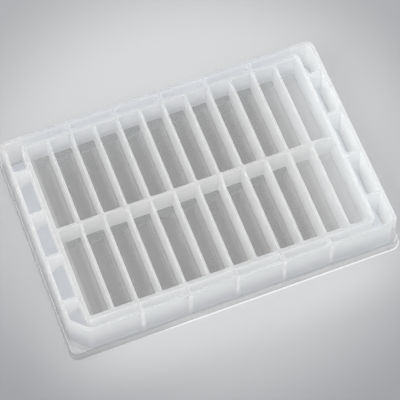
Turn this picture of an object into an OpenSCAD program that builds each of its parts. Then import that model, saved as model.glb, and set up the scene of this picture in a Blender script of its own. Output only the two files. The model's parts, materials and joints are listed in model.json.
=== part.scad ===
// Low-profile reagent reservoir: one moulding with two rows of hopper-bottomed
// troughs on a 9 mm pitch, hung by arched ribs inside a skirted outer wall.
// Units are millimetres. X runs along the rows of troughs, Y across them, +Z is up.
// The origin is the middle of the footprint, on the surface the skirt stands on.
// Sizes run from the troughs outwards, and with the values below the footprint is
// the 127.76 by 85.48 of a standard microplate.

/* [Troughs] */
// Number of troughs along a row
columns = 12; // [2:1:24]
// Number of rows
rows = 2; // [1:1:4]
// Distance from one trough to the next along a row
pitch = 9; // [6:0.5:18]
// Length of a trough at its mouth, along Y
trough_l = 35.2; // [12:0.1:80]
// Thickness of the dividers between the troughs of a row, at their top
divider_t = 0.9; // [0.6:0.05:1.5]
// Thickness of the wall between two rows, at its top
cross_wall_t = 1.1; // [0.6:0.05:2]
// How far each trough wall leans in between the mouth and the foot
trough_draft = 0.1; // [0:0.02:0.3]
// Depth from the mouth to the flat strip of a trough's floor
trough_depth = 13.4; // [8:0.1:14]
// Width of the flat strip along the floor
strip_w = 2.1; // [1:0.1:4]
// Rise of the floor from the flat strip to the dividers
side_slope_h = 1; // [0.5:0.1:2]
// Rise of the floor from the flat strip to the trough's ends
end_slope_h = 2.8; // [1:0.1:4]
// Run of the floor's end slopes along Y
end_slope_l = 2.2; // [1:0.1:4]
// Radius of the upright corners inside a trough
trough_corner_r = 0.6; // [0.2:0.1:1.5]

/* [Trough block] */
// Thickness of the four walls around the block at their top
block_wall_t = 1.55; // [1:0.05:2.5]
// Thickness of the trough floors
floor_t = 1.2; // [0.8:0.1:1.6]
// Radius of the block's upright outer corners
block_corner_r = 1.8; // [0.5:0.1:4]

/* [Outer wall] */
// Height of the whole reservoir
total_h = 18.6; // [17:0.1:40]
// Gap between the block and the outer wall at the ends, at the rim
end_gap = 5.6; // [3:0.1:20]
// Gap between the block and the outer wall at the long sides, at the rim
side_gap = 2.6; // [1.5:0.1:20]
// Thickness of the outer wall
wall_t = 1.5; // [1:0.1:2.5]
// How far the outer wall leans in between the ledge and the rim
wall_draft = 0.5; // [0:0.05:1.5]
// Radius of the outer wall's upright corners
wall_corner_r = 3; // [2.6:0.1:5]
// Leg of the chamfer on the orientation corner
key_chamfer = 6.4; // [3:0.1:7]

/* [Skirt] */
// Width of the flat part of the ledge at the ends
end_ledge = 0.38; // [0:0.02:6]
// Width of the flat part of the ledge at the long sides
side_ledge = 0.04; // [0:0.02:6]
// Height of the ledge
ledge_h = 4.2; // [3.4:0.1:6]
// Height of the rounded shoulder under the ledge
shoulder_h = 1.8; // [0.4:0.1:2.4]
// Width of the rounded shoulder, seen from above
shoulder_w = 0.5; // [0.2:0.05:2]
// Radius of the skirt's upright corners
skirt_corner_r = 3.2; // [2.5:0.1:6]
// Size of the cove where the outer wall meets the ledge
cove = 0.3; // [0.1:0.1:1]

/* [Ribs] */
// Thickness of every rib
rib_t = 1.3; // [0.8:0.1:2]
// Height at which the arch under a rib meets the block
rib_arch_h = 8.7; // [7:0.1:11]
// Height at which the arch under a rib meets the outer wall
rib_foot_h = 0.9; // [0:0.1:3]
// Number of ribs at each end of a row
end_ribs = 2; // [1:1:4]
// The long sides have a rib behind every this many dividers
side_rib_step = 2; // [1:1:4]

/* [Hidden] */

$fn = 48;
hull_fn = 32;                         // segments of a circle inside a hull
arch_steps = 14;                      // flats along the arch under a rib
shoulder_steps = 4;                   // flats down the skirt's shoulder
cove_steps = 2;                       // flats up the cove
bite = 0.5;                           // how deep a rib runs into the walls it joins
over = 1;                             // how far a cut runs past the material

trough_w = pitch - divider_t;
row_pitch = trough_l + cross_wall_t;

floor_z = total_h - trough_depth;     // top of the flat strip
under_z = floor_z - floor_t;          // underside of the troughs
side_foot_z = floor_z + side_slope_h;
end_foot_z = floor_z + end_slope_h;
side_run = trough_w / 2 - trough_draft - strip_w / 2;

// Half sizes from the block outwards
block_x = (columns * pitch - divider_t) / 2 + block_wall_t;
block_y = (rows * row_pitch - cross_wall_t) / 2 + block_wall_t;
face_x = block_x + end_gap;           // inner face of the outer wall at the rim
face_y = block_y + side_gap;
skirt_x = face_x + wall_t + wall_draft + cove + end_ledge + shoulder_w;
skirt_y = face_y + wall_t + wall_draft + cove + side_ledge + shoulder_w;

// Places of the troughs and of the walls and ribs between them
function trough_x(i) = (i - (columns - 1) / 2) * pitch;
function divider_x(i) = (i - columns / 2) * pitch;
function trough_y(j) = (j - (rows - 1) / 2) * row_pitch;
function cross_wall_y(j) = (j - rows / 2) * row_pitch;
function end_rib_y(i) = (i - (rows * end_ribs - 1) / 2) * row_pitch / end_ribs;

// How far the outer wall stands outside the rim's outline at height z
function lean(z) = wall_draft * (total_h - z) / (total_h - ledge_h);

// Centres of the outer wall's corner arcs, with two in place of the front left one
// where the chamfer is
post_x = face_x + wall_t - wall_corner_r;
post_y = face_y + wall_t - wall_corner_r;
key_shift = key_chamfer - wall_corner_r * (1 - tan(22.5));
wall_posts = [
    [post_x, -post_y], [post_x, post_y], [-post_x, post_y],
    [-post_x, key_shift - post_y], [key_shift - post_x, -post_y]
];

// Section of a trough, mouth upwards: half width at the mouth, half width of the
// flat strip, and the height at which the slope of the floor meets the wall
function trough_section(mouth, strip, foot_z) = [
    [mouth, total_h + over], [mouth, total_h],
    [mouth - trough_draft, foot_z], [strip, floor_z],
    [-strip, floor_z], [-mouth + trough_draft, foot_z],
    [-mouth, total_h], [-mouth, total_h + over]
];

// Section of the block's outside: the underside follows the slope of the floor,
// one floor thickness below it
function block_section(outer, rise, run) =
    let (slope = rise / run,
         drop = floor_t * sqrt(1 + slope * slope),
         wall_foot_z = floor_z + rise + (block_wall_t + trough_draft) * slope - drop,
         inset = (wall_foot_z - under_z) / slope)
    [
        [outer, total_h], [outer, wall_foot_z], [outer - inset, under_z],
        [-outer + inset, under_z], [-outer, wall_foot_z], [-outer, total_h]
    ];

// Section of the groove under an inner wall: half width at the troughs' underside,
// half width at the top, and the height of the top
function groove_section(foot, top, top_z) = [
    [-foot, under_z - over], [foot, under_z - over], [foot, under_z],
    [top, top_z], [-top, top_z], [-foot, under_z]
];

module rounded_rect(l, w, r) {
    square([l - 2 * r, w], center = true);
    square([l, w - 2 * r], center = true);
    for (x = [-1, 1], y = [-1, 1])
        translate([x * (l / 2 - r), y * (w / 2 - r)]) circle(r);
}

// A section in XZ that runs along Y
module along_y(length) {
    rotate([90, 0, 0]) linear_extrude(length, center = true) children();
}

// A section in YZ that runs along X
module along_x(length) {
    rotate([90, 0, 90]) linear_extrude(length, center = true) children();
}

// Corner posts of the outer wall between two heights, grown outwards by a different
// amount at each
module wall_posts_between(z0, z1, grow0, grow1) {
    for (p = wall_posts)
        translate([p.x, p.y, z0])
            cylinder(h = z1 - z0, r1 = wall_corner_r + lean(z0) + grow0,
                     r2 = wall_corner_r + lean(z1) + grow1, $fn = hull_fn);
}

// Corner posts of the skirt between two heights, drawn in by a different amount at each
module skirt_posts_between(z0, z1, inset0, inset1) {
    for (x = [-1, 1], y = [-1, 1])
        translate([x * (skirt_x - skirt_corner_r), y * (skirt_y - skirt_corner_r), z0])
            cylinder(h = z1 - z0, r1 = skirt_corner_r - inset0,
                     r2 = skirt_corner_r - inset1, $fn = hull_fn);
}

// The skirt that the reservoir stands on, with its rounded shoulder
module skirt_body() {
    side_h = ledge_h - shoulder_h;
    hull() {
        skirt_posts_between(0, side_h, 0, 0);
        for (i = [0 : shoulder_steps - 1])
            let (a = 90 * i / shoulder_steps, b = 90 * (i + 1) / shoulder_steps)
            skirt_posts_between(side_h + shoulder_h * sin(a), side_h + shoulder_h * sin(b),
                                shoulder_w * (1 - cos(a)), shoulder_w * (1 - cos(b)));
    }
}

// The cove that leads from the ledge up into the outer wall
module cove_body() {
    for (i = [0 : cove_steps - 1])
        let (a = 90 * i / cove_steps, b = 90 * (i + 1) / cove_steps)
        hull() wall_posts_between(ledge_h + cove * (1 - cos(a)), ledge_h + cove * (1 - cos(b)),
                                  cove * (1 - sin(a)), cove * (1 - sin(b)));
}

// The skirt and the outer wall, which leans in a little towards the rim
module shell() {
    difference() {
        union() {
            skirt_body();
            cove_body();
            hull() wall_posts_between(ledge_h / 2, total_h, 0, 0);
        }
        hull() wall_posts_between(-over, total_h + over, -wall_t, -wall_t);
    }
}

// The space inside one trough
module trough_space() {
    end_y = trough_l / 2 - trough_draft - end_slope_l;
    intersection() {
        along_y(trough_l + over)
            polygon(trough_section(trough_w / 2, strip_w / 2, side_foot_z));
        along_x(trough_w + over)
            polygon(trough_section(trough_l / 2, end_y, end_foot_z));
        linear_extrude(total_h + over) rounded_rect(trough_w, trough_l, trough_corner_r);
    }
}

// The block of troughs, grooved underneath so that its walls stay even
module trough_block() {
    difference() {
        intersection() {
            along_y(2 * block_y) polygon(block_section(block_x, side_slope_h, side_run));
            along_x(2 * block_x) polygon(block_section(block_y, end_slope_h, end_slope_l));
            linear_extrude(total_h) rounded_rect(2 * block_x, 2 * block_y, block_corner_r);
        }
        for (i = [0 : columns - 1], j = [0 : rows - 1])
            translate([trough_x(i), trough_y(j), 0]) trough_space();
        for (i = [1 : columns - 1])
            translate([divider_x(i), 0, 0]) along_y(2 * block_y + over)
                polygon(groove_section(side_run, divider_t / 4, side_foot_z - floor_t));
        for (j = [1 : 1 : rows - 1])
            translate([0, cross_wall_y(j), 0]) along_x(2 * block_x + over)
                polygon(groove_section(end_slope_l + trough_draft, cross_wall_t / 4,
                                       end_foot_z - floor_t));
    }
}

// One rib, standing along X across a gap: x = 0 is the outer wall's inner face at the
// rim, and an arch beneath the rib rises towards the block
module rib(gap) {
    low = asin(rib_foot_h / rib_arch_h);
    arch = [for (i = [0 : arch_steps])
        let (a = low + (90 - low) * i / arch_steps)
        [gap * (1 - cos(a)), rib_arch_h * sin(a)]];
    root = -wall_draft - bite;
    profile = concat([[root, rib_foot_h]], arch,
                     [[gap + bite, rib_arch_h], [gap + bite, total_h], [root, total_h]]);
    along_y(rib_t) polygon(profile);
}

// Ribs between the ends of the block and the outer wall
module end_rib_set() {
    for (side = [0, 1], i = [0 : rows * end_ribs - 1])
        mirror([side, 0, 0]) translate([-face_x, end_rib_y(i), 0]) rib(end_gap);
}

// Ribs that carry some of the dividers on to the long outer walls
module side_rib_set() {
    for (side = [0, 1], i = [side_rib_step : side_rib_step : columns - 1])
        mirror([0, side, 0])
            translate([divider_x(i), -face_y, 0]) rotate(90) rib(side_gap);
}

module reservoir_tray() {
    color([0.86, 0.88, 0.9]) {
        shell();
        trough_block();
        end_rib_set();
        side_rib_set();
    }
}

reservoir_tray();
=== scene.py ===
"""A milky plastic reagent reservoir on a pale studio table.

The reservoir is one moulding: a block of troughs hung by arched ribs inside a skirted
outer wall. Each sub-assembly is a class that builds its own closed mesh, Geometry Nodes
repeat the troughs, grooves and ribs, and the results are joined into one watertight
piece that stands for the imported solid.
"""

from __future__ import annotations

import json
import logging
import math
from dataclasses import dataclass
from enum import Enum
from typing import Any, Iterable, Sequence

import bmesh
import bpy
from mathutils import Euler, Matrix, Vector

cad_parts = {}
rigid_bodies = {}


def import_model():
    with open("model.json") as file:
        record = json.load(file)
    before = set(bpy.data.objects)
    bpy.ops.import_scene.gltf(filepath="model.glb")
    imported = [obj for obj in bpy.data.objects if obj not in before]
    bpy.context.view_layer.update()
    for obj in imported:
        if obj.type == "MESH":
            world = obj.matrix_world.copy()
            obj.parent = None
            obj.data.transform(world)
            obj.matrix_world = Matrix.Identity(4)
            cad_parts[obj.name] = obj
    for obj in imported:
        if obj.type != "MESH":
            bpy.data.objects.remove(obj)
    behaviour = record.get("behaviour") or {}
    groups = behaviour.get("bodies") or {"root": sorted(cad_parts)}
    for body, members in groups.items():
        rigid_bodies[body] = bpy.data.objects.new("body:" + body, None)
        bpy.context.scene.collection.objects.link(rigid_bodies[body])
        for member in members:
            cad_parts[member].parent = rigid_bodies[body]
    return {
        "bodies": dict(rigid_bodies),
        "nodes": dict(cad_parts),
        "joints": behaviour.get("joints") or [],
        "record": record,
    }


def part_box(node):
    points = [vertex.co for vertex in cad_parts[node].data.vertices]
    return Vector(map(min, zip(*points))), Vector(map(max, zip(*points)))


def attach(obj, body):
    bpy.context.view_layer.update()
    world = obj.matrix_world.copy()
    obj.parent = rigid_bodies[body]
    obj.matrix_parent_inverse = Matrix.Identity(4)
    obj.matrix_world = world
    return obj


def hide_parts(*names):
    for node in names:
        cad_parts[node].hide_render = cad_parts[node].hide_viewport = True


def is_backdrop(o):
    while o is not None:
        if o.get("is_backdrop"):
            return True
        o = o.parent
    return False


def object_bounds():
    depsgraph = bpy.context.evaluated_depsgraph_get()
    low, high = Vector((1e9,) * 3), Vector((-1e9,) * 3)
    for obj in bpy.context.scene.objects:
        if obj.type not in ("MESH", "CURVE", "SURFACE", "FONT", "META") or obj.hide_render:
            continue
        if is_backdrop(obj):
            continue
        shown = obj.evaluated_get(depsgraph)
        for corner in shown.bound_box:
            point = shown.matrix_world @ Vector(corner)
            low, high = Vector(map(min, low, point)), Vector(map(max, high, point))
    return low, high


LOG = logging.getLogger("reservoir")

NODE = "reservoir_tray"
BODY = "root"
MM = 0.001
OVER = 1 * MM
MASK_EDGE = 0.15 * MM

Colour = tuple[float, float, float]
Place = tuple[float, float, float]
Span = tuple[float, float]
Socket = bpy.types.NodeSocket
Object = bpy.types.Object
Profile = Sequence[tuple[float, float]]


class Along(Enum):
    """The axis that a section is drawn out along."""

    X = "X"
    Y = "Y"


def add_object(name: str, data: Any) -> Object:
    """Puts a new object into the scene.

    Args:
        name: Name of the object.
        data: Its mesh, lamp or camera.

    Returns:
        The object.
    """
    obj = bpy.data.objects.new(name, data)
    bpy.context.scene.collection.objects.link(obj)
    return obj


def remove(objects: Iterable[Object]) -> None:
    """Deletes objects that are no longer needed."""
    for obj in list(objects):
        bpy.data.objects.remove(obj, do_unlink=True)


# --- Closed solids ---


@dataclass(frozen=True)
class Post:
    """One rounded upright corner of an outline, with the arc that it covers in degrees."""

    x: float
    y: float
    start: float
    end: float


def box_posts(half_x: float, half_y: float, radius: float) -> list[Post]:
    """The corners of a rounded rectangle round the origin.

    Args:
        half_x: Half its length.
        half_y: Half its width.
        radius: Radius of the corners.

    Returns:
        The corners, anticlockwise from the front right one.
    """
    x = half_x - radius
    y = half_y - radius
    return [
        Post(x, -y, -90, 0),
        Post(x, y, 0, 90),
        Post(-x, y, 90, 180),
        Post(-x, -y, 180, 270),
    ]


def ring(posts: Iterable[Post], radius: float, z: float, steps: int) -> list[Vector]:
    """The outline round a set of corners.

    Args:
        posts: The corners in order.
        radius: Radius of their arcs.
        z: Height of the outline.
        steps: How many straight steps each arc has.

    Returns:
        The points of the outline.
    """
    points = []
    for post in posts:
        for i in range(steps + 1):
            angle = math.radians(post.start + (post.end - post.start) * i / steps)
            x = post.x + radius * math.cos(angle)
            y = post.y + radius * math.sin(angle)
            points.append(Vector((x, y, z)))
    return points


class Solid:
    """Makes the closed meshes that the sub-assemblies are cut and joined from."""

    FLAT_ANGLE = math.radians(0.2)

    @staticmethod
    def _finish(name: str, work: bmesh.types.BMesh) -> Object:
        """Turns a work mesh into an object with its faces outwards.

        Args:
            name: Name of the object.
            work: The mesh, which is used up.

        Returns:
            The object.
        """
        bmesh.ops.recalc_face_normals(work, faces=work.faces)
        mesh = bpy.data.meshes.new(name)
        work.to_mesh(mesh)
        work.free()
        return add_object(name, mesh)

    @classmethod
    def loft(cls, name: str, rings: Sequence[Sequence[Vector]]) -> Object:
        """A closed solid through outlines with equally many points.

        Args:
            name: Name of the object.
            rings: The outlines from one end to the other.

        Returns:
            The solid, capped at both ends.
        """
        work = bmesh.new()
        rows = [[work.verts.new(point) for point in points] for points in rings]
        count = len(rows[0])
        for low, high in zip(rows, rows[1:]):
            for i in range(count):
                j = (i + 1) % count
                work.faces.new((low[i], low[j], high[j], high[i]))
        work.faces.new(list(reversed(rows[0])))
        work.faces.new(rows[-1])
        return cls._finish(name, work)

    @classmethod
    def hull(cls, name: str, points: Iterable[Vector]) -> Object:
        """The smallest convex solid around a set of points.

        Args:
            name: Name of the object.
            points: The points.

        Returns:
            The solid, with each flat face in one piece.
        """
        work = bmesh.new()
        for point in points:
            work.verts.new(point)
        found = bmesh.ops.convex_hull(work, input=work.verts)
        spare = found["geom_interior"] + found["geom_unused"]
        inner = {v for v in spare if isinstance(v, bmesh.types.BMVert)}
        bmesh.ops.delete(work, geom=list(inner), context="VERTS")
        bmesh.ops.dissolve_limit(
            work, angle_limit=cls.FLAT_ANGLE, verts=work.verts, edges=work.edges
        )
        return cls._finish(name, work)

    @classmethod
    def extrusion(cls, name: str, profile: Profile, along: Along, length: float) -> Object:
        """A section drawn out along one axis, centred on the origin.

        Args:
            name: Name of the object.
            profile: The section, as pairs of the other level axis and the height.
            along: The axis that it is drawn out along.
            length: How far it is drawn out.

        Returns:
            The solid.
        """
        ends = []
        for shift in (-length / 2, length / 2):
            if along is Along.X:
                ends.append([Vector((shift, a, z)) for a, z in profile])
            else:
                ends.append([Vector((a, shift, z)) for a, z in profile])
        return cls.loft(name, ends)


# --- Node trees ---


class Tree:
    """A node tree whose nodes are made, set and linked in one call."""

    def __init__(self, tree: bpy.types.NodeTree) -> None:
        """Wraps a tree."""
        self.nodes = tree.nodes
        self.links = tree.links

    def feed(self, socket: Socket, value: Any) -> None:
        """Sets one input socket, or links it.

        Args:
            socket: The input.
            value: A plain value, a socket to link from, or a list of sockets.
        """
        for item in value if isinstance(value, list) else [value]:
            if isinstance(item, Socket):
                self.links.new(item, socket)
            else:
                socket.default_value = item

    def node(
        self, kind: str, settings: dict[str, Any] | None = None, **sockets: Any
    ) -> bpy.types.Node:
        """Adds a node.

        Args:
            kind: The node's type.
            settings: Properties of the node, set first.
            **sockets: What each input is fed, by its name with _ for a space.

        Returns:
            The node.
        """
        made = self.nodes.new(kind)
        for key, value in (settings or {}).items():
            setattr(made, key, value)
        for key, value in sockets.items():
            self.feed(made.inputs[key.replace("_", " ")], value)
        return made

    def maths(self, operation: str, a: Any, b: Any = 0.0) -> Any:
        """Works out one sum from two numbers.

        Args:
            operation: The sum, by a Math node's name for it.
            a: The first number or socket.
            b: The second number or socket.

        Returns:
            The result's socket.
        """
        made = self.node("ShaderNodeMath", {"operation": operation})
        self.feed(made.inputs[0], a)
        self.feed(made.inputs[1], b)
        return made.outputs[0]


class GeometryTree(Tree):
    """A Geometry Nodes tree with named inputs."""

    def __init__(self, name: str) -> None:
        """Starts a tree with one geometry input and one geometry output.

        Args:
            name: Name of the tree.
        """
        self.group = bpy.data.node_groups.new(name, "GeometryNodeTree")
        super().__init__(self.group)
        for way in ("INPUT", "OUTPUT"):
            self.group.interface.new_socket(
                "Geometry", in_out=way, socket_type="NodeSocketGeometry"
            )
        self.entry = self.node("NodeGroupInput")
        self.exit = self.node("NodeGroupOutput")

    def input(self, name: str, kind: str) -> Socket:
        """Adds a named input of a kind such as Float, and returns its value in the tree."""
        self.group.interface.new_socket(name, in_out="INPUT", socket_type="NodeSocket" + kind)
        return self.entry.outputs[name]

    def shape_of(self, name: str) -> Socket:
        """Adds an object input and returns the object's geometry."""
        made = self.node("GeometryNodeObjectInfo", Object=self.input(name, "Object"))
        return made.outputs["Geometry"]

    def repeat(self, points: Socket, shape: Socket, turn: float = 0.0) -> Socket:
        """Puts a real copy of a shape at every vertex of a mesh.

        Args:
            points: The mesh.
            shape: The shape.
            turn: How far each copy is turned about Z, in radians.

        Returns:
            The copies.
        """
        placed = self.node(
            "GeometryNodeInstanceOnPoints",
            Points=points,
            Instance=shape,
            Rotation=Euler((0.0, 0.0, turn)),
        )
        real = self.node("GeometryNodeRealizeInstances", Geometry=placed.outputs[0])
        return real.outputs[0]

    def row(self, count: Socket, pitch: Socket, along: Along) -> Socket:
        """A line of evenly spaced points, centred on the origin.

        Args:
            count: How many points.
            pitch: The distance between two of them.
            along: The axis that they stand along.

        Returns:
            The line, as a mesh.
        """
        first = self.maths("MULTIPLY", self.maths("SUBTRACT", count, 1.0), -0.5)
        start = self.maths("MULTIPLY", first, pitch)
        begin = self.node("ShaderNodeCombineXYZ", **{along.value: start})
        step = self.node("ShaderNodeCombineXYZ", **{along.value: pitch})
        line = self.node(
            "GeometryNodeMeshLine",
            Count=count,
            Start_Location=begin.outputs[0],
            Offset=step.outputs[0],
        )
        return line.outputs[0]

    def cut(self, body: Socket, cutters: list[Socket]) -> Socket:
        """Takes closed shapes out of a closed body.

        Args:
            body: The body.
            cutters: The shapes.

        Returns:
            What is left of the body.
        """
        settings = {"operation": "DIFFERENCE", "solver": "MANIFOLD"}
        made = self.node("GeometryNodeMeshBoolean", settings, Mesh_1=body, Mesh_2=cutters)
        return made.outputs[0]

    def join(self, bodies: list[Socket]) -> Socket:
        """Joins closed bodies into one with nothing left inside."""
        settings = {"operation": "UNION", "solver": "MANIFOLD"}
        return self.node("GeometryNodeMeshBoolean", settings, Mesh_2=bodies).outputs[0]

    def bake(
        self, name: str, result: Socket, start: Object, values: dict[str, Any]
    ) -> Object:
        """Ends the tree, runs it on an object and keeps what comes out.

        Args:
            name: Name of the new object.
            result: The geometry that the tree gives.
            start: The object that the tree runs on, which is used up.
            values: The inputs by name.

        Returns:
            A new object with the result as a plain mesh.
        """
        material = self.input("Material", "Material")
        real = self.node("GeometryNodeRealizeInstances", Geometry=result)
        dressed = self.node(
            "GeometryNodeSetMaterial", Geometry=real.outputs[0], Material=material
        )
        self.links.new(dressed.outputs[0], self.exit.inputs[0])
        modifier = start.modifiers.new(name, "NODES")
        modifier.node_group = self.group
        for item in self.group.interface.items_tree:
            if item.in_out == "INPUT" and item.name in values:
                modifier[item.identifier] = values[item.name]
        return bake(start, name)


def bake(obj: Object, name: str) -> Object:
    """Replaces an object by a plain mesh of what its modifiers give.

    Args:
        obj: The object, which is used up.
        name: Name of the new object and its mesh.

    Returns:
        The new object, at the origin.
    """
    graph = bpy.context.evaluated_depsgraph_get()
    mesh = bpy.data.meshes.new_from_object(
        obj.evaluated_get(graph), preserve_all_data_layers=True, depsgraph=graph
    )
    obj.modifiers.clear()
    remove([obj])
    mesh.name = name
    return add_object(name, mesh)


# --- Sub-assemblies ---


@dataclass(frozen=True)
class TroughGrid:
    """Where the troughs stand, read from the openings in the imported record."""

    # Decimal places of a metre that middles are rounded to.
    DIGITS = 5

    columns: int
    rows: int
    pitch: float
    row_pitch: float

    @classmethod
    def from_record(cls, record: dict[str, Any]) -> TroughGrid:
        """Works the grid out from the boxes of the troughs.

        Args:
            record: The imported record.

        Returns:
            The grid.
        """
        boxes = [opening["box_m"] for opening in record["physics"]["openings"]]
        counts = []
        pitches = []
        for axis in (0, 1):
            middles = {round((low[axis] + high[axis]) / 2, cls.DIGITS) for low, high in boxes}
            counts.append(len(middles))
            pitches.append((max(middles) - min(middles)) / (len(middles) - 1))
        return cls(*counts, *pitches)


@dataclass(frozen=True)
class Hopper:
    """A box whose bottom falls in four slopes to a flat strip.

    It is the space inside a trough, and, with other sizes, the block around them.
    """

    half_x: float
    half_y: float
    flat_x: float
    flat_y: float
    floor_z: float
    rise_x: float
    rise_y: float
    top_z: float
    corner_r: float
    draft: float = 0.0
    steps: int = 6

    def floor_at(self, x: float, y: float) -> float:
        """Height of the bottom at a point.

        Args:
            x: The point's place in X.
            y: The point's place in Y.

        Returns:
            The height.
        """
        run_x = self.half_x - self.draft - self.flat_x
        run_y = self.half_y - self.draft - self.flat_y
        side = self.rise_x * (abs(x) - self.flat_x) / run_x
        end = self.rise_y * (abs(y) - self.flat_y) / run_y
        return self.floor_z + max(side, end, 0.0)

    def points(self, above: float = 0.0) -> list[Vector]:
        """The points that the shape is the hull of.

        Args:
            above: How far the shape goes on above its top.

        Returns:
            The points.
        """
        mouth = box_posts(self.half_x, self.half_y, self.corner_r)
        found = ring(mouth, self.corner_r, self.top_z, self.steps)
        if above:
            found += ring(mouth, self.corner_r, self.top_z + above, self.steps)
        foot_x = self.half_x - self.draft
        foot_y = self.half_y - self.draft
        foot = box_posts(foot_x, foot_y, self.corner_r)
        for point in ring(foot, self.corner_r, 0.0, self.steps):
            found.append(Vector((point.x, point.y, self.floor_at(point.x, point.y))))
        hip_y = self.flat_y + (foot_y - self.flat_y) * self.rise_x / self.rise_y
        for x in (-1, 1):
            for y in (-1, 1):
                found.append(Vector((x * self.flat_x, y * self.flat_y, self.floor_z)))
                found.append(Vector((x * foot_x, y * hip_y, self.floor_z + self.rise_x)))
        return found


@dataclass(frozen=True)
class TroughBlock:
    """The block of troughs."""

    grid: TroughGrid
    top_z: float
    divider_t: float = 0.9 * MM
    cross_wall_t: float = 1.1 * MM
    draft: float = 0.1 * MM
    depth: float = 13.4 * MM
    strip_w: float = 2.1 * MM
    side_slope_h: float = 1.0 * MM
    end_slope_h: float = 2.8 * MM
    end_slope_l: float = 2.2 * MM
    trough_corner_r: float = 0.6 * MM
    wall_t: float = 1.55 * MM
    floor_t: float = 1.2 * MM
    corner_r: float = 1.8 * MM
    corner_steps: int = 10
    groove_share: float = 0.5

    @property
    def trough_w(self) -> float:
        """Width of a trough at its mouth."""
        return self.grid.pitch - self.divider_t

    @property
    def trough_l(self) -> float:
        """Length of a trough at its mouth."""
        return self.grid.row_pitch - self.cross_wall_t

    @property
    def half_x(self) -> float:
        """Half the block's length."""
        return (self.grid.columns * self.grid.pitch - self.divider_t) / 2 + self.wall_t

    @property
    def half_y(self) -> float:
        """Half the block's width."""
        return (self.grid.rows * self.grid.row_pitch - self.cross_wall_t) / 2 + self.wall_t

    @property
    def floor_z(self) -> float:
        """Height of the flat strip in a trough's floor."""
        return self.top_z - self.depth

    @property
    def under_z(self) -> float:
        """Height of the underside below the flat strips."""
        return self.floor_z - self.floor_t

    @property
    def side_run(self) -> float:
        """Run of a floor's side slope."""
        return (self.trough_w - self.strip_w) / 2 - self.draft

    def trough(self) -> Object:
        """The space inside one trough.

        Returns:
            The solid to cut, which goes on above the block's top.
        """
        space = Hopper(
            half_x=self.trough_w / 2,
            half_y=self.trough_l / 2,
            flat_x=self.strip_w / 2,
            flat_y=self.trough_l / 2 - self.draft - self.end_slope_l,
            floor_z=self.floor_z,
            rise_x=self.side_slope_h,
            rise_y=self.end_slope_h,
            top_z=self.top_z,
            corner_r=self.trough_corner_r,
            draft=self.draft,
        )
        return Solid.hull("trough", space.points(OVER))

    def blank(self) -> Object:
        """The block before its troughs are cut.

        Returns:
            The solid.
        """
        rises = []
        flats = []
        for outer, rise, run in (
            (self.half_x, self.side_slope_h, self.side_run),
            (self.half_y, self.end_slope_h, self.end_slope_l),
        ):
            slope = rise / run
            drop = self.floor_t * math.sqrt(1 + slope * slope)
            foot_z = self.floor_z + rise + (self.wall_t + self.draft) * slope - drop
            rises.append(foot_z - self.under_z)
            flats.append(outer - rises[-1] / slope)
        block = Hopper(
            half_x=self.half_x,
            half_y=self.half_y,
            flat_x=flats[0],
            flat_y=flats[1],
            floor_z=self.under_z,
            rise_x=rises[0],
            rise_y=rises[1],
            top_z=self.top_z,
            corner_r=self.corner_r,
            steps=self.corner_steps,
        )
        return Solid.hull("block_blank", block.points())

    def groove(
        self, name: str, foot: float, top: float, top_z: float, along: Along
    ) -> Object:
        """The groove under one inner wall, which keeps the moulding even.

        Args:
            name: Name of the object.
            foot: Half its width at the troughs' underside.
            top: Half its width at the top.
            top_z: Height of the top.
            along: The axis that it follows.

        Returns:
            The shape to cut.
        """
        section = [
            (-foot, self.under_z - OVER),
            (foot, self.under_z - OVER),
            (foot, self.under_z),
            (top, top_z),
            (-top, top_z),
            (-foot, self.under_z),
        ]
        reach = self.half_y if along is Along.Y else self.half_x
        return Solid.extrusion(name, section, along, 2 * reach + OVER)

    def build(self) -> Object:
        """Cuts the troughs and grooves out of the blank.

        Returns:
            The block of troughs.
        """
        tree = GeometryTree("trough_block")
        columns = tree.input("Columns", "Int")
        rows = tree.input("Rows", "Int")
        pitch = tree.input("Pitch", "Float")
        row_pitch = tree.input("Row Pitch", "Float")
        gaps = tree.maths("SUBTRACT", columns, 1.0)
        row_gaps = tree.maths("SUBTRACT", rows, 1.0)
        grid = tree.node(
            "GeometryNodeMeshGrid",
            Size_X=tree.maths("MULTIPLY", gaps, pitch),
            Size_Y=tree.maths("MULTIPLY", row_gaps, row_pitch),
            Vertices_X=columns,
            Vertices_Y=rows,
        )
        dividers = tree.row(gaps, pitch, Along.X)
        crossings = tree.row(row_gaps, row_pitch, Along.Y)
        spaces = tree.repeat(grid.outputs[0], tree.shape_of("Trough"))
        grooves = tree.repeat(dividers, tree.shape_of("Groove"))
        cross_grooves = tree.repeat(crossings, tree.shape_of("Cross Groove"))
        hollow = tree.cut(tree.entry.outputs["Geometry"], [spaces])
        grooved = tree.cut(hollow, [grooves, cross_grooves])
        # A groove narrows to a share of the wall above it.
        parts = {
            "Trough": self.trough(),
            "Groove": self.groove(
                "groove",
                foot=self.side_run,
                top=self.divider_t * self.groove_share / 2,
                top_z=self.floor_z + self.side_slope_h - self.floor_t,
                along=Along.Y,
            ),
            "Cross Groove": self.groove(
                "cross_groove",
                foot=self.end_slope_l + self.draft,
                top=self.cross_wall_t * self.groove_share / 2,
                top_z=self.floor_z + self.end_slope_h - self.floor_t,
                along=Along.X,
            ),
        }
        values = {
            "Columns": self.grid.columns,
            "Rows": self.grid.rows,
            "Pitch": self.grid.pitch,
            "Row Pitch": self.grid.row_pitch,
        }
        made = tree.bake("trough_block", grooved, self.blank(), {**values, **parts})
        remove(parts.values())
        return made


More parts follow.
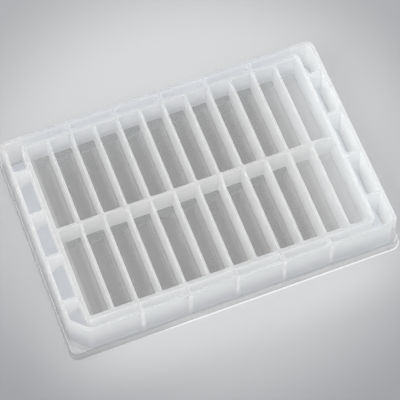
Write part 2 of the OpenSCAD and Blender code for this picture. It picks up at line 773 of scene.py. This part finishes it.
@dataclass(frozen=True)
class OuterWall:
    """The skirt and the wall that leans in above it, with one corner chamfered."""

    skirt_x: float
    skirt_y: float
    top_z: float
    face_x: float
    face_y: float
    thickness: float = 1.5 * MM
    wall_draft: float = 0.5 * MM
    corner_r: float = 3.0 * MM
    chamfer: float = 6.4 * MM
    chamfer_turn: float = math.radians(45)
    ledge_z: float = 4.2 * MM
    shoulder_h: float = 1.8 * MM
    shoulder_w: float = 0.5 * MM
    skirt_corner_r: float = 3.2 * MM
    cove: float = 0.3 * MM
    steps: int = 12
    chamfer_steps: int = 6
    curve_steps: int = 6

    @property
    def chamfer_at(self) -> float:
        """Length and width together, from the middle to the chamfer's inner face."""
        inset = self.thickness / math.cos(self.chamfer_turn) - 2 * self.thickness
        return self.face_x + self.face_y - self.chamfer - inset

    def lean(self, z: float) -> float:
        """How far the wall stands outside the rim's outline at a height."""
        return self.wall_draft * (self.top_z - z) / (self.top_z - self.ledge_z)

    def wall_ring(self, z: float, grow: float = 0.0) -> list[Vector]:
        """The wall's outline at a height.

        Args:
            z: The height.
            grow: How far the outline stands outside the wall's own.

        Returns:
            The points of the outline.
        """
        x = self.face_x + self.thickness - self.corner_r
        y = self.face_y + self.thickness - self.corner_r
        shift = self.chamfer - self.corner_r * (1 - math.tan(self.chamfer_turn / 2))
        radius = self.corner_r + self.lean(z) + grow
        square = [Post(x, -y, -90, 0), Post(x, y, 0, 90), Post(-x, y, 90, 180)]
        cut = [Post(-x, shift - y, 180, 225), Post(shift - x, -y, 225, 270)]
        return ring(square, radius, z, self.steps) + ring(cut, radius, z, self.chamfer_steps)

    def skirt(self) -> Object:
        """The skirt with its rounded shoulder.

        Returns:
            The skirt, filled.
        """
        posts = box_posts(self.skirt_x, self.skirt_y, self.skirt_corner_r)
        rings = [ring(posts, self.skirt_corner_r, 0.0, self.steps)]
        low = self.ledge_z - self.shoulder_h
        for i in range(self.curve_steps + 1):
            angle = math.pi / 2 * i / self.curve_steps
            inset = self.shoulder_w * (1 - math.cos(angle))
            z = low + self.shoulder_h * math.sin(angle)
            rings.append(ring(posts, self.skirt_corner_r - inset, z, self.steps))
        return Solid.loft("skirt", rings)

    def wall(self) -> Object:
        """The wall with the cove at its foot.

        Returns:
            The wall, filled.
        """
        # The foot is buried in the skirt, and widens just below the ledge.
        rings = [
            self.wall_ring(self.ledge_z / 2),
            self.wall_ring(self.ledge_z - self.cove),
            self.wall_ring(self.ledge_z - self.cove / 4, self.cove),
        ]
        for i in range(self.curve_steps + 1):
            angle = math.pi / 2 * i / self.curve_steps
            z = self.ledge_z + self.cove * (1 - math.cos(angle))
            rings.append(self.wall_ring(z, self.cove * (1 - math.sin(angle))))
        rings.append(self.wall_ring(self.top_z))
        return Solid.loft("wall", rings)

    def inside(self) -> Object:
        """The space within the wall.

        Returns:
            The solid to cut, which goes on below and above the wall.
        """
        rings = [
            self.wall_ring(-OVER, -self.thickness),
            self.wall_ring(self.top_z + OVER, -self.thickness),
        ]
        return Solid.loft("inside", rings)

    def build(self) -> Object:
        """Joins skirt and wall and empties them.

        Returns:
            The outer wall with its skirt.
        """
        tree = GeometryTree("outer_wall")
        solid = tree.join([tree.entry.outputs["Geometry"], tree.shape_of("Wall")])
        hollow = tree.cut(solid, [tree.shape_of("Inside")])
        parts = {"Wall": self.wall(), "Inside": self.inside()}
        made = tree.bake("outer_wall", hollow, self.skirt(), parts)
        remove(parts.values())
        return made


@dataclass(frozen=True)
class Rib:
    """One kind of rib, which stands across the gap between block and outer wall."""

    name: str
    count: int
    pitch: float
    face: float
    gap: float
    top_z: float
    along: Along
    thickness: float = 1.3 * MM
    arch_h: float = 8.7 * MM
    foot_h: float = 0.9 * MM
    draft: float = 0.5 * MM
    bite: float = 0.5 * MM
    steps: int = 20

    def section(self) -> list[tuple[float, float]]:
        """The rib's outline on the tray's negative side.

        Returns:
            Pairs of the level axis and the height, from the foot at the outer wall.
        """
        low = math.asin(self.foot_h / self.arch_h)
        arch = []
        for i in range(self.steps + 1):
            angle = low + (math.pi / 2 - low) * i / self.steps
            arch.append((self.gap * (1 - math.cos(angle)), self.arch_h * math.sin(angle)))
        root = -self.draft - self.bite
        tip = self.gap + self.bite
        outline = [(root, self.foot_h), *arch, (tip, self.arch_h)]
        outline += [(tip, self.top_z), (root, self.top_z)]
        return [(x - self.face, z) for x, z in outline]

    def build(self) -> Object:
        """Repeats the rib in a row and again on the opposite side.

        Returns:
            All the ribs of this kind.
        """
        rib = Solid.extrusion("rib", self.section(), self.along, self.thickness)
        tree = GeometryTree(self.name)
        row = tree.row(tree.input("Count", "Int"), tree.input("Pitch", "Float"), self.along)
        shape = tree.entry.outputs["Geometry"]
        near = tree.repeat(row, shape)
        far = tree.repeat(row, shape, math.pi)
        both = tree.node("GeometryNodeJoinGeometry", Geometry=[near, far]).outputs[0]
        return tree.bake(self.name, both, rib, {"Count": self.count, "Pitch": self.pitch})


@dataclass(frozen=True)
class Moulding:
    """The whole reservoir in one piece."""

    block: TroughBlock
    wall: OuterWall
    end_ribs: Rib
    side_ribs: Rib
    edge_r: float = 0.2 * MM
    edge_angle: float = math.radians(28)
    edge_segments: int = 2
    merge: float = 0.002 * MM
    flat_angle: float = math.radians(0.1)

    def build(self, plastic: bpy.types.Material) -> Object:
        """Joins the sub-assemblies in one plastic and rounds their edges.

        Args:
            plastic: The finish.

        Returns:
            The moulding, as a plain mesh in the CAD frame.
        """
        tree = GeometryTree("moulding")
        ribs = (self.end_ribs, self.side_ribs)
        bodies = [tree.entry.outputs["Geometry"], tree.shape_of("Block")]
        bodies += [tree.shape_of(rib.name) for rib in ribs]
        parts = {"Block": self.block.build()}
        parts.update({rib.name: rib.build() for rib in ribs})
        joined = tree.join(bodies)
        values = {**parts, "Material": plastic}
        made = tree.bake(NODE + "_moulding", joined, self.wall.build(), values)
        remove(parts.values())
        self.tidy(made)
        return self.round_edges(made)

    def tidy(self, obj: Object) -> None:
        """Merges doubled points and gathers flat triangles into whole faces.

        Args:
            obj: The moulding, whose mesh is changed.
        """
        work = bmesh.new()
        work.from_mesh(obj.data)
        bmesh.ops.remove_doubles(work, verts=work.verts, dist=self.merge)
        bmesh.ops.dissolve_limit(
            work, angle_limit=self.flat_angle, verts=work.verts, edges=work.edges
        )
        loose = [e for e in work.edges if not e.link_faces]
        bmesh.ops.delete(work, geom=loose, context="EDGES")
        open_edges = sum(1 for e in work.edges if len(e.link_faces) != 2)
        LOG.info("%s: %d faces, %d open edges", obj.name, len(work.faces), open_edges)
        work.to_mesh(obj.data)
        work.free()

    def round_edges(self, obj: Object) -> Object:
        """Gives every edge a small radius, as a mould does.

        Args:
            obj: The moulding, which is used up.

        Returns:
            The moulding with its edges rounded.
        """
        bevel = obj.modifiers.new("edges", "BEVEL")
        bevel.width = self.edge_r
        bevel.segments = self.edge_segments
        bevel.limit_method = "ANGLE"
        bevel.angle_limit = self.edge_angle
        bevel.use_clamp_overlap = False
        bevel.loop_slide = False
        bevel.miter_outer = "MITER_SHARP"
        obj.data.shade_smooth()
        bevel.harden_normals = True
        return bake(obj, obj.name)


# --- Materials ---


class Value:
    """A number in a shader that varies over the surface, with Python arithmetic."""

    def __init__(self, paint: Paint, socket: Socket) -> None:
        """Wraps a socket of a material's tree."""
        self.paint = paint
        self.socket = socket

    def __add__(self, other: Any) -> Value:
        """Sum."""
        return self.paint.maths("ADD", self, other)

    def __sub__(self, other: Any) -> Value:
        """Difference."""
        return self.paint.maths("SUBTRACT", self, other)

    def __rsub__(self, other: Any) -> Value:
        """Difference from a number."""
        return self.paint.maths("SUBTRACT", other, self)

    def __mul__(self, other: Any) -> Value:
        """Product."""
        return self.paint.maths("MULTIPLY", self, other)

    def __truediv__(self, other: Any) -> Value:
        """Quotient."""
        return self.paint.maths("DIVIDE", self, other)

    def __abs__(self) -> Value:
        """Size without sign."""
        return self.paint.maths("ABSOLUTE", self)

    __radd__ = __add__
    __rmul__ = __mul__

    def at_least(self, low: float) -> Value:
        """The larger of this and a number."""
        return self.paint.maths("MAXIMUM", self, low)

    def rise(self, low: float, high: float) -> Value:
        """A smooth rise from 0 to 1.

        Args:
            low: The number up to which it is 0.
            high: The number from which it is 1.

        Returns:
            The rise.
        """
        made = self.paint.node(
            "ShaderNodeMapRange",
            {"interpolation_type": "SMOOTHSTEP"},
            Value=self,
            From_Min=low,
            From_Max=high,
        )
        return Value(self.paint, made.outputs["Result"])

    def fall(self, low: float, high: float) -> Value:
        """1 below low and 0 above high, with a smooth fall between them."""
        return 1 - self.rise(low, high)


class Paint(Tree):
    """The shader tree of a material or of the world."""

    # The factor and the colours of a mix node, which has more sockets for other kinds.
    MIX_INPUTS = (0, 6, 7)
    MIX_RESULT = 2

    def __init__(self, owner: bpy.types.Material | bpy.types.World) -> None:
        """Clears the tree of a material or a world down to its output.

        Args:
            owner: The material or world.
        """
        owner.use_nodes = True
        super().__init__(owner.node_tree)
        self.owner = owner
        self.nodes.clear()
        kind = "World" if isinstance(owner, bpy.types.World) else "Material"
        self.output = self.node(f"ShaderNodeOutput{kind}")

    def feed(self, socket: Socket, value: Any) -> None:
        """Sets one input socket, or links it.

        Args:
            socket: The input.
            value: What a plain tree takes, a Value or a colour.
        """
        if isinstance(value, Value):
            value = value.socket
        elif socket.type == "RGBA" and isinstance(value, tuple):
            value = (*value, 1.0)
        super().feed(socket, value)

    def show(self, shader: bpy.types.Node) -> None:
        """Ends the tree with a shader."""
        self.feed(self.output.inputs["Surface"], shader.outputs[0])

    def maths(self, operation: str, a: Any, b: Any = 0.0) -> Value:
        """Works out one sum from two numbers."""
        return Value(self, super().maths(operation, a, b))

    def mix(self, factor: Any, a: Any, b: Any) -> Socket:
        """A colour between two others.

        Args:
            factor: How far it is from the first to the second.
            a: The colour at 0.
            b: The colour at 1.

        Returns:
            The colour's socket.
        """
        made = self.node("ShaderNodeMix", {"data_type": "RGBA"})
        for index, value in zip(self.MIX_INPUTS, (factor, a, b)):
            self.feed(made.inputs[index], value)
        return made.outputs[self.MIX_RESULT]

    def axes(self, socket: Socket) -> tuple[Value, Value, Value]:
        """The three parts of a vector."""
        made = self.node("ShaderNodeSeparateXYZ", Vector=socket)
        return tuple(Value(self, out) for out in made.outputs)

    def distance(self, place: Socket, centre: Place) -> Value:
        """How far each point of the surface is from a fixed one.

        Args:
            place: The point on the surface.
            centre: The fixed point.

        Returns:
            The distance.
        """
        made = self.node("ShaderNodeVectorMath", {"operation": "DISTANCE"})
        self.feed(made.inputs[0], place)
        self.feed(made.inputs[1], centre)
        return Value(self, made.outputs["Value"])

    def noise(self, place: Socket, scale: float, detail: float) -> Value:
        """Soft variation around a half, with scale in bumps for each metre."""
        made = self.node("ShaderNodeTexNoise", Vector=place, Scale=scale, Detail=detail)
        return Value(self, made.outputs[0])


def inside_box(x: Value, y: Value, half_x: float, half_y: float) -> Value:
    """A mask that is 1 inside an upright box round the origin, with a soft edge.

    Args:
        x: The place in X.
        y: The place in Y.
        half_x: Half the box's length.
        half_y: Half its width.

    Returns:
        The mask.
    """
    within_x = abs(x).fall(half_x, half_x + MASK_EDGE)
    within_y = abs(y).fall(half_y, half_y + MASK_EDGE)
    return within_x * within_y


class Zones:
    """Masks over the moulding, each 1 inside its zone and 0 outside. Several of them place
    painted light and shade in the plastic's colour.

    A span says where a mask starts to change and where it stops. The names that end in UP
    are for the upward part of a face's normal, those in SHARE for parts of the moulding's
    height or of the block's half length, and those in GLOW or STRENGTH for how strong a
    mask is. The others are distances.
    """

    BLOCK_INSET = 0.3 * MM
    SKIN_OUTSET = 0.1 * MM
    MOAT_OUTSET = 0.3 * MM
    CHAMFER: Span = (-0.6 * MM, -0.4 * MM)
    OUTWARDS: Span = (10 * MM, 30 * MM)
    ABOVE_FLOOR: Span = (0.0, 0.5 * MM)
    SKIRT_TOP: Span = (-0.6 * MM, 0.2 * MM)
    BACK: Span = (-1.5 * MM, -0.7 * MM)
    LEFT: Span = (1 * MM, 2 * MM)
    RIGHT: Span = (-2.5 * MM, -1.5 * MM)
    LEFT_SLOPE: Span = (2.6 * MM, 4.6 * MM)
    LEFT_SLOPE_GLOW = 0.9
    LEFT_SHARE: Span = (-1.0, -0.7)
    LEFT_GLOW = 0.4
    RIGHT_SHARE: Span = (0.55, 1.0)
    RAISED_SHARE: Span = (0.3, 1.0)
    FLOOR_UP: Span = (0.25, 0.55)
    END_UP: Span = (0.68, 0.85)
    LEVEL_UP: Span = (0.8, 0.95)
    STRIP_UP: Span = (0.955, 0.985)
    BAND_SHARE: Span = (0.2, 0.6)
    BAND_STRENGTH = 0.6
    BAND_SOFT = 0.4 * MM
    BAND_END = 1 * MM
    BAND_DEPTH = 0.5 * MM

    def __init__(self, paint: Paint, place: Socket, normal: Socket, design: Moulding) -> None:
        """Works the masks out.

        Args:
            paint: The shader that they belong to.
            place: The point on the surface.
            normal: The way that the surface looks there.
            design: The moulding.
        """
        x, y, z = paint.axes(place)
        turned_x, turned_y, up = paint.axes(normal)
        block, wall = design.block, design.wall
        block_x, block_y = block.half_x, block.half_y
        skin = self.SKIN_OUTSET
        moat = self.MOAT_OUTSET
        inset = self.BLOCK_INSET
        self.inside = inside_box(x, y, block_x - inset, block_y - inset)
        self.block = inside_box(x, y, block_x + skin, block_y + skin)
        self.moat = inside_box(x, y, wall.face_x + moat, wall.face_y + moat)
        self.moat = self.moat * (x + y + wall.chamfer_at).rise(*self.CHAMFER)
        self.outwards = (x * turned_x + y * turned_y).rise(*self.OUTWARDS)
        low = (z - block.floor_z - block.end_slope_h).fall(*self.ABOVE_FLOOR)
        self.floor = up.rise(*self.FLOOR_UP) * self.inside * low
        self.under = (0 - up).rise(*self.FLOOR_UP) * self.inside * low
        self.end = up.fall(*self.END_UP)
        self.level = up.rise(*self.LEVEL_UP)
        self.strip = up.rise(*self.STRIP_UP)
        # Masks for the back and the two ends, where the colour has painted light and shade by
        # side.
        self.back = (y - block_y).rise(*self.BACK)
        self.left = (x + block_x).fall(*self.LEFT)
        self.right = (x - block_x).rise(*self.RIGHT)
        # Masks for painted shade on the outer wall: darker towards its foot, with a grey of its
        # own on the skirt.
        self.raised = (z / wall.top_z).rise(*self.RAISED_SHARE)
        self.skirt = (z - wall.ledge_z).fall(*self.SKIRT_TOP)
        # A mask for painted light on the floors: paler towards the right end, less so towards
        # the left end, and on the leftmost side slope.
        along = x / block_x
        self.pale = along.rise(*self.RIGHT_SHARE) + along.fall(*self.LEFT_SHARE) * self.LEFT_GLOW
        slope = (x + block_x).fall(*self.LEFT_SLOPE)
        self.pale = self.pale + slope * self.LEFT_SLOPE_GLOW
        # Painted light: pale upright stripes on the outer wall where a rib stands behind it.
        rib_glow = (z / wall.top_z).rise(*self.BAND_SHARE) * self.BAND_STRENGTH
        self.rib_glow = self.before_rib(x, y, design.side_ribs) * rib_glow

    def before_rib(self, x: Value, y: Value, ribs: Rib) -> Value:
        """A mask for painted light: pale stripes on the outer wall's long sides where a rib
        stands behind them.

        Args:
            x: The place in X.
            y: The place in Y.
            ribs: The ribs along the long sides.

        Returns:
            The mask.
        """
        half = ribs.thickness / 2
        reach = ribs.pitch * ribs.count / 2
        off = x.paint.maths("PINGPONG", x, ribs.pitch / 2)
        rib = off.fall(half / 2, half + self.BAND_SOFT)
        rib = rib * abs(x).fall(reach - self.BAND_END, reach)
        return rib * abs(y).rise(ribs.face - self.BAND_DEPTH, ribs.face)


@dataclass(frozen=True)
class MilkyPlastic:
    """Natural polypropylene: milky walls that pass light, clearer floors, painted light and
    shade.
    """

    design: Moulding
    milk: Colour = (0.999, 0.999, 0.999)
    cloudy_milk: Colour = (0.995, 0.997, 0.999)
    left_lit_milk: Colour = (0.993, 0.997, 0.999)
    right_lit_milk: Colour = (0.979, 0.993, 0.999)
    right_shade: Colour = (0.945, 0.97, 0.985)
    back_shade: Colour = (0.92, 0.937, 0.965)
    frame_milk: Colour = (0.98, 0.99, 0.999)
    outside_foot_shade: Colour = (0.54, 0.545, 0.56)
    outside_high: Colour = (0.93, 0.945, 0.96)
    skirt_shade: Colour = (0.68, 0.685, 0.7)
    strip_shade: Colour = (0.12, 0.12, 0.118)
    slope_shade: Colour = (0.33, 0.33, 0.325)
    end_slope_shade: Colour = (0.12, 0.14, 0.13)
    floor_end_light: Colour = (0.52, 0.52, 0.52)
    block_alpha: float = 0.65
    skin_alpha: float = 0.9
    rib_alpha: float = 0.75
    top_alpha: float = 0.4
    outer_alpha: float = 0.4
    inner_alpha: float = 0.75
    right_alpha: float = 0.5
    floor_alpha: float = 0.33
    under_alpha: float = 0.06
    roughness: float = 0.38
    cloud_roughness: float = 0.12
    floor_roughness: float = 0.05
    cloud_scale: float = 60.0
    cloud_detail: float = 2.0
    grain_scale: float = 1400.0
    grain_detail: float = 1.0
    grain_strength: float = 0.08
    grain_depth: float = 0.02 * MM
    ior: float = 1.49
    scatter_depth: float = 8.0 * MM

    def build(self) -> bpy.types.Material:
        """Makes the material.

        Returns:
            The material.
        """
        paint = Paint(bpy.data.materials.new("milky_plastic"))
        where = paint.node("ShaderNodeTexCoord")
        place = where.outputs["Object"]
        zones = Zones(paint, place, where.outputs["Normal"], self.design)
        cloud = paint.noise(place, self.cloud_scale, self.cloud_detail)
        grain = paint.noise(place, self.grain_scale, self.grain_detail)
        rough = (cloud - 0.5) * self.cloud_roughness + zones.floor * self.floor_roughness
        bump = paint.node(
            "ShaderNodeBump",
            Strength=self.grain_strength,
            Distance=self.grain_depth,
            Height=grain,
        )
        surface = paint.node(
            "ShaderNodeBsdfPrincipled",
            {"subsurface_method": "RANDOM_WALK"},
            Base_Color=self.colour(paint, zones, cloud),
            Roughness=self.roughness + rough,
            IOR=self.ior,
            Alpha=self.alpha(zones),
            Normal=bump.outputs[0],
            Subsurface_Weight=1.0,
            Subsurface_Radius=(1.0, 1.0, 1.0),
            Subsurface_Scale=self.scatter_depth,
        )
        paint.show(surface)
        return paint.owner

    def colour(self, paint: Paint, zones: Zones, cloud: Value) -> Socket:
        """The plastic's colour, with painted light and shade, from the outer wall in to the
        floors.

        Args:
            paint: The shader.
            zones: Its masks.
            cloud: Soft variation over the milk.

        Returns:
            The colour's socket.
        """
        # Painted shade: the outer faces darken from the top down to the ledge, and the skirt is
        # a grey of its own.
        outside = paint.mix(zones.raised, self.outside_foot_shade, self.outside_high)
        outside = paint.mix(zones.skirt, outside, self.skirt_shade)
        # Painted light: the outer wall is as pale as the milk where a rib stands behind it.
        outside = paint.mix(zones.rib_glow, outside, self.milk)
        # Painted light and shade by side: the back is darker and bluer, the left end paler and
        # the right end a touch bluer.
        frame = paint.mix(zones.back, self.frame_milk, self.back_shade)
        frame = paint.mix(zones.left, frame, self.left_lit_milk)
        frame = paint.mix(zones.right, frame, self.right_lit_milk)
        block = paint.mix(cloud, self.milk, self.cloudy_milk)
        # Painted shade: the block's back and right end are darker and bluer.
        block = paint.mix(zones.back, block, self.back_shade)
        block = paint.mix(zones.right, block, self.right_shade)
        walls = paint.mix(zones.outwards, frame, outside)
        walls = paint.mix(zones.moat + zones.block, walls, frame)
        walls = paint.mix(zones.inside, walls, block)
        # Painted shade: the floors are dark greys, the flat strip and the end slopes darker than
        # the side slopes.
        slopes = paint.mix(zones.end, self.slope_shade, self.end_slope_shade)
        floors = paint.mix(zones.strip, slopes, self.strip_shade)
        # Painted light: the floors grow paler towards the block's ends.
        floors = paint.mix(zones.pale, floors, self.floor_end_light)
        return paint.mix(zones.floor, walls, floors)

    def alpha(self, zones: Zones) -> Value:
        """How much the plastic hides, each zone over those before it.

        Args:
            zones: The shader's masks.

        Returns:
            The alpha.
        """
        alpha = self.inner_alpha + zones.outwards * (self.outer_alpha - self.inner_alpha)
        for zone, value in (
            (zones.moat, self.rib_alpha),
            (zones.block, self.skin_alpha),
            (zones.inside, self.block_alpha),
            (zones.level, self.top_alpha),
            (zones.right * zones.inside, self.right_alpha),
            (zones.rib_glow * zones.outwards * (1 - zones.moat), 1.0),
            (zones.floor, self.floor_alpha),
            (zones.under, self.under_alpha),
        ):
            alpha = alpha + zone * (value - alpha)
        return alpha


# --- Studio ---


@dataclass(frozen=True)
class SoftBox:
    """A square area lamp aimed at the middle of the table."""

    name: str
    place: Place
    size: float
    watts: float

    def build(self) -> None:
        """Makes the lamp."""
        lamp = bpy.data.lights.new(self.name, "AREA")
        lamp.shape = "SQUARE"
        lamp.size = self.size
        lamp.energy = self.watts
        obj = add_object(self.name, lamp)
        obj.location = self.place
        obj.rotation_euler = Vector(self.place).to_track_quat("Z", "Y").to_euler()


@dataclass(frozen=True)
class Table:
    """The pale table under the tray, whose foot it knows.

    It is lit as usual, and a share of what the camera sees of it is a plain colour of its
    own, which lights nothing. That colour is painted light and shade: a pool of light round
    the tray that fades to the far edges, a glow in front of the tray, painted light below the
    moat and below the floors of the troughs, and a painted highlight, a thin line at the
    tray's foot, for the light that the plastic gathers.
    """

    foot_x: float
    foot_y: float
    foot_r: float = OuterWall.skirt_corner_r
    half: float = 3.0
    lit_near: Colour = (0.9, 0.9, 0.9)
    lit_far: Colour = (0.5, 0.5, 0.51)
    lit_centre: Place = (0.004, 0.009, 0.0)
    lit_fade: Span = (0.06, 0.11)
    roughness: float = 0.85
    seen_share: float = 0.6
    seen_centre: Place = (0.012, 0.045, 0.0)
    seen_near: Colour = (0.49, 0.495, 0.51)
    seen_far: Colour = (0.185, 0.192, 0.217)
    seen_fade: Span = (0.0, 0.19)
    glow: Colour = (0.82, 0.825, 0.84)
    glow_share: float = 0.45
    glow_front: Span = (-66 * MM, -42 * MM)
    glow_back: Span = (-42 * MM, 0.0)
    glow_ends: Span = (37.8 * MM, 84 * MM)
    line: Colour = (1.0, 1.0, 1.0)
    line_edge: Span = (0.3 * MM, 0.7 * MM)
    line_from: Span = (-0.6, -0.3)
    line_to: Span = (-0.9, -0.6)
    moat: Colour = (0.53, 0.56, 0.61)
    moat_right_light: Colour = (0.68, 0.72, 0.77)
    moat_x: float = 61 * MM
    moat_y: float = 40.5 * MM
    moat_end: Span = (0.9, 1.0)
    floor: Colour = (0.48, 0.48, 0.475)
    under_floor_light: Colour = (0.66, 0.66, 0.66)
    floor_x: float = 55 * MM
    floor_y: float = 39 * MM
    floor_shift: float = 1.5 * MM
    floor_end: Span = (0.3, 1.0)
    floor_side: Span = (0.6, 1.0)

    def build(self) -> None:
        """Makes the table that the tray stands on."""
        mesh = bpy.data.meshes.new("table")
        far = self.half
        corners = [(-far, -far, 0), (far, -far, 0), (far, far, 0), (-far, far, 0)]
        mesh.from_pydata(corners, [], [(0, 1, 2, 3)])
        mesh.materials.append(self.finish())
        obj = add_object("table", mesh)
        obj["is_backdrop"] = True

    def finish(self) -> bpy.types.Material:
        """Makes the table's material.

        Returns:
            The material.
        """
        paint = Paint(bpy.data.materials.new("pale_table"))
        place = paint.node("ShaderNodeTexCoord").outputs["Object"]
        near = paint.distance(place, self.lit_centre).fall(*self.lit_fade)
        lit = paint.node(
            "ShaderNodeBsdfPrincipled",
            Base_Color=paint.mix(near, self.lit_far, self.lit_near),
            Roughness=self.roughness,
        )
        seen = paint.node("ShaderNodeEmission", Color=self.seen(paint, place), Strength=1.0)
        path = paint.node("ShaderNodeLightPath")
        camera = Value(paint, path.outputs["Is Camera Ray"])
        both = paint.node("ShaderNodeMixShader", Fac=camera * self.seen_share)
        paint.feed(both.inputs[1], lit.outputs[0])
        paint.feed(both.inputs[2], seen.outputs[0])
        paint.show(both)
        return paint.owner

    def seen(self, paint: Paint, place: Socket) -> Socket:
        """The table's colour to the camera, with painted light and shade: bare, below the moat,
        below the floors.

        Args:
            paint: The shader.
            place: The point on the table.

        Returns:
            The colour's socket.
        """
        x, y, _ = paint.axes(place)
        # Painted light: a pool of light round the tray that fades to the far edges.
        away = paint.distance(place, self.seen_centre).rise(*self.seen_fade)
        bare = paint.mix(away, self.seen_near, self.seen_far)
        # Painted light: a glow on the table in front of the tray.
        glow = y.rise(*self.glow_front) * y.fall(*self.glow_back)
        glow = glow * abs(x).fall(*self.glow_ends)
        bare = paint.mix(glow * self.glow_share, bare, self.glow)
        # Painted highlight: a thin bright line at the tray's foot.
        bare = paint.mix(self.foot_line(x, y), bare, self.line)
        # Painted light below the moat, bluer and paler towards the right end, and below the
        # floors, paler towards the right end and the front and back.
        moat_end = (x / self.floor_x).rise(*self.moat_end)
        moat = paint.mix(moat_end, self.moat, self.moat_right_light)
        floor_end = (x / self.floor_x).rise(*self.floor_end)
        floor_side = (abs(y) / self.floor_y).rise(*self.floor_side)
        floor = paint.mix(floor_end, self.floor, self.under_floor_light)
        floor = paint.mix(floor_side, floor, self.under_floor_light)
        framed = inside_box(x, y, self.moat_x, self.moat_y)
        shift = self.floor_shift
        covered = inside_box(x - shift, y - shift, self.floor_x, self.floor_y)
        return paint.mix(covered, paint.mix(framed, bare, moat), floor)

    def foot_line(self, x: Value, y: Value) -> Value:
        """A mask for the painted highlight, a thin bright line along the front of the tray's
        foot.

        Args:
            x: The place in X.
            y: The place in Y.

        Returns:
            The mask.
        """
        past_x = (abs(x) - (self.foot_x - self.foot_r)).at_least(0.0)
        past_y = (abs(y) - (self.foot_y - self.foot_r)).at_least(0.0)
        off = x.paint.maths("SQRT", past_x * past_x + past_y * past_y) - self.foot_r
        line = off.fall(*self.line_edge) * (x / self.foot_x).rise(*self.line_from)
        return line * (y / self.foot_y).fall(*self.line_to)


@dataclass(frozen=True)
class Studio:
    """The table, the lamps, the surroundings and the camera."""

    camera_place: Place = (-0.10319, -0.2814, 0.60148)
    camera_turn_deg: tuple[float, float, float] = (26.647, 0.291, -20.95)
    focal_mm: float = 162.31
    sensor_mm: float = 36.0
    clip: Span = (0.05, 20.0)
    zenith: Colour = (0.9, 0.9, 0.9)
    horizon: Colour = (0.3, 0.3, 0.3)
    horizon_top: float = 0.8
    bounces: int = 64
    glossy_bounces: int = 16
    lamps: tuple[SoftBox, ...] = (
        SoftBox("key", place=(-0.9, -0.35, 1.2), size=0.8, watts=9.0),
        SoftBox("side", place=(1.2, 0.2, 0.18), size=0.28, watts=7.0),
    )

    def camera(self) -> None:
        """Makes the camera that the scene is seen through."""
        data = bpy.data.cameras.new("camera")
        data.lens = self.focal_mm
        data.sensor_width = self.sensor_mm
        data.clip_start, data.clip_end = self.clip
        obj = add_object("camera", data)
        obj.location = self.camera_place
        obj.rotation_euler = [math.radians(a) for a in self.camera_turn_deg]
        bpy.context.scene.camera = obj

    def surroundings(self) -> None:
        """Fills the room with soft grey light."""
        world = bpy.data.worlds.new("studio")
        paint = Paint(world)
        direction = paint.node("ShaderNodeTexCoord").outputs["Generated"]
        _, _, height = paint.axes(direction)
        shade = paint.mix(height.rise(0.0, self.horizon_top), self.horizon, self.zenith)
        light = paint.node("ShaderNodeBackground", Color=shade, Strength=1.0)
        paint.show(light)
        bpy.context.scene.world = world

    def build(self) -> None:
        """Sets everything up."""
        self.camera()
        low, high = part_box(NODE)
        Table(foot_x=(high.x - low.x) / 2, foot_y=(high.y - low.y) / 2).build()
        self.surroundings()
        for lamp in self.lamps:
            lamp.build()
        scene = bpy.context.scene
        scene.view_settings.view_transform = "Standard"
        scene.cycles.max_bounces = self.bounces
        scene.cycles.diffuse_bounces = self.bounces
        scene.cycles.glossy_bounces = self.glossy_bounces
        scene.cycles.transparent_max_bounces = self.bounces


# --- Assembly ---


@dataclass(frozen=True)
class Reservoir:
    """The reservoir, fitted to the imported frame."""

    record: dict[str, Any]
    end_gap: float = 5.6 * MM
    side_gap: float = 2.6 * MM
    ribs_per_row_end: int = 2
    dividers_per_rib: int = 2

    def build(self) -> None:
        """Builds, dresses and mounts the moulding."""
        low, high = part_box(NODE)
        grid = TroughGrid.from_record(self.record)
        block = TroughBlock(grid=grid, top_z=high.z)
        face_x = block.half_x + self.end_gap
        face_y = block.half_y + self.side_gap
        wall = OuterWall(
            skirt_x=(high.x - low.x) / 2,
            skirt_y=(high.y - low.y) / 2,
            top_z=high.z,
            face_x=face_x,
            face_y=face_y,
        )
        end_ribs = Rib(
            name="end_ribs",
            count=grid.rows * self.ribs_per_row_end,
            pitch=grid.row_pitch / self.ribs_per_row_end,
            face=face_x,
            gap=self.end_gap,
            top_z=high.z,
            along=Along.Y,
        )
        side_ribs = Rib(
            name="side_ribs",
            count=(grid.columns - 1) // self.dividers_per_rib,
            pitch=grid.pitch * self.dividers_per_rib,
            face=face_y,
            gap=self.side_gap,
            top_z=high.z,
            along=Along.X,
        )
        design = Moulding(block, wall, end_ribs, side_ribs)
        moulding = design.build(MilkyPlastic(design).build())
        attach(moulding, BODY)
        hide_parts(NODE)
        LOG.info("%s: %d faces", moulding.name, len(moulding.data.polygons))


def corners(bounds: Sequence[Vector]) -> list[list[float]]:
    """A box as plain lists of numbers."""
    return [[float(value) for value in corner] for corner in bounds]


def main() -> None:
    """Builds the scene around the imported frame."""
    logging.basicConfig(level=logging.INFO, format="%(name)s: %(message)s")
    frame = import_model()
    cad_box = corners(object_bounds())
    Studio().build()
    Reservoir(record=frame["record"]).build()
    {"cad": cad_box, "visual": corners(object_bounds())}


if __name__ == "__main__":
    main()
